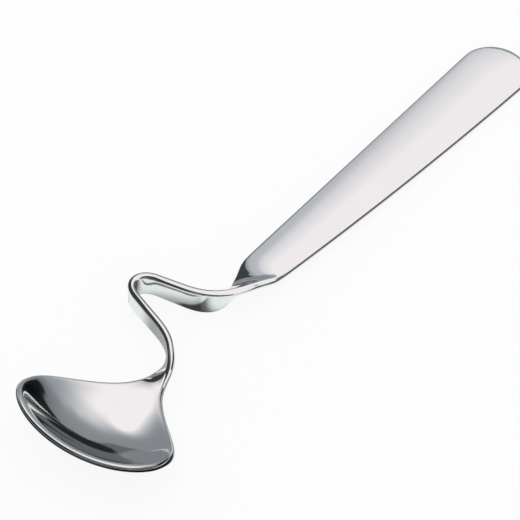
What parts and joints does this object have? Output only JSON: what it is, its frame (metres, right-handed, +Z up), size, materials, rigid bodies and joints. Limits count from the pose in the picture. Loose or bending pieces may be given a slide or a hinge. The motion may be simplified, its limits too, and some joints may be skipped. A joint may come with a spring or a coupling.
{
  "type": "honey spoon",
  "caption": "One-piece steel honey spoon with a wide shallow bowl, a tapered handle and a neck bent into a hook that hangs on a jar's rim.",
  "frame": {"origin": "middle of the footprint, on the surface that the spoon lies on", "axes": "+X along the handle towards its round end, +Z up out of the bowl's hollow, +Y towards the side on which the hook stands out"},
  "size_m": [0.1726, 0.0458, 0.0129],
  "materials": {
    "polished_steel": "mirror-polished stainless steel"
  },
  "bodies": {
    "root": {"spoon": "polished_steel"}
  },
  "joints": []
}
